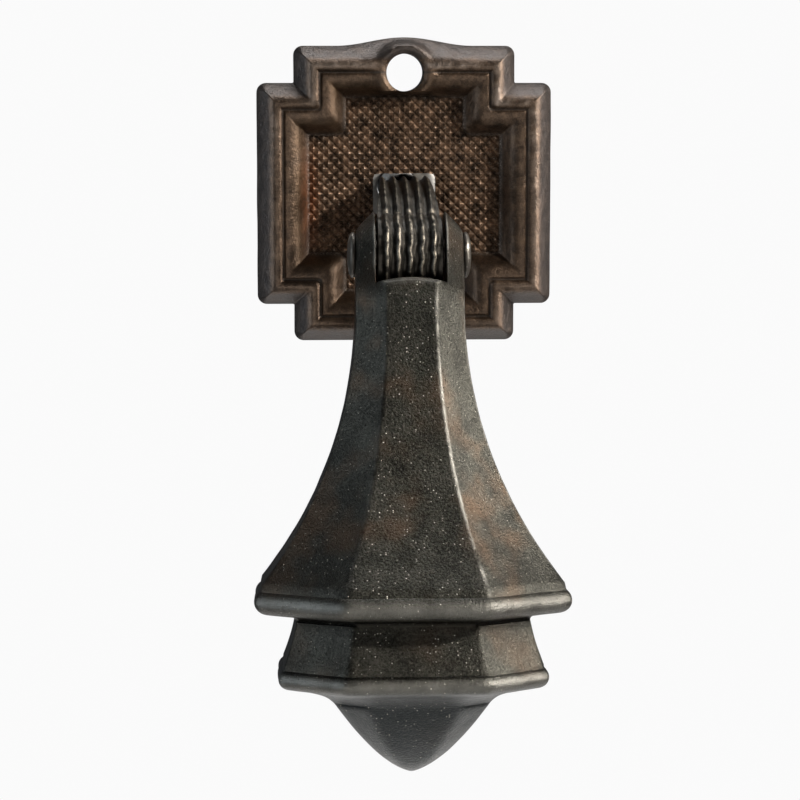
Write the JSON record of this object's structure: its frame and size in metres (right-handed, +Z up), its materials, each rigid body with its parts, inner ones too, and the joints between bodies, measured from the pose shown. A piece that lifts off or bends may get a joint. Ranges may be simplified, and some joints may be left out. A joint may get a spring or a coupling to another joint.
{
  "type": "drop pull",
  "caption": "Cast-iron drop pull: an eight-sided flared pendant swings on a riveted ribbed eye bolt over a stepped square backplate.",
  "frame": {"origin": "where the bolt's axis meets the door's face, which is the plate's back", "axes": "+Z up along the plate, -Y towards the person who pulls, +Y along the bolt into the door, +X to the viewer's right"},
  "size_m": [0.0306, 0.0525, 0.072],
  "materials": {
    "plate_iron": "burnished brown iron, worn crests",
    "bolt_iron": "black iron, bright rib crests",
    "drop_iron": "blackened iron, sandy pits",
    "pin_iron": "blackened rivet",
    "fixing_steel": "dull steel"
  },
  "bodies": {
    "mount": {"backplate": "plate_iron", "eye_bolt": "bolt_iron", "washer": "fixing_steel", "hex_nut": "fixing_steel"},
    "pendant": {"drop": "drop_iron", "pivot_pin": "pin_iron"}
  },
  "joints": [
    {"name": "drop_swing", "type": "hinge", "parent": "mount", "child": "pendant", "pos_m": [0, -0.012, -0.0055], "axis": [-1, 0, 0], "range_deg": [0, 125]}
  ]
}
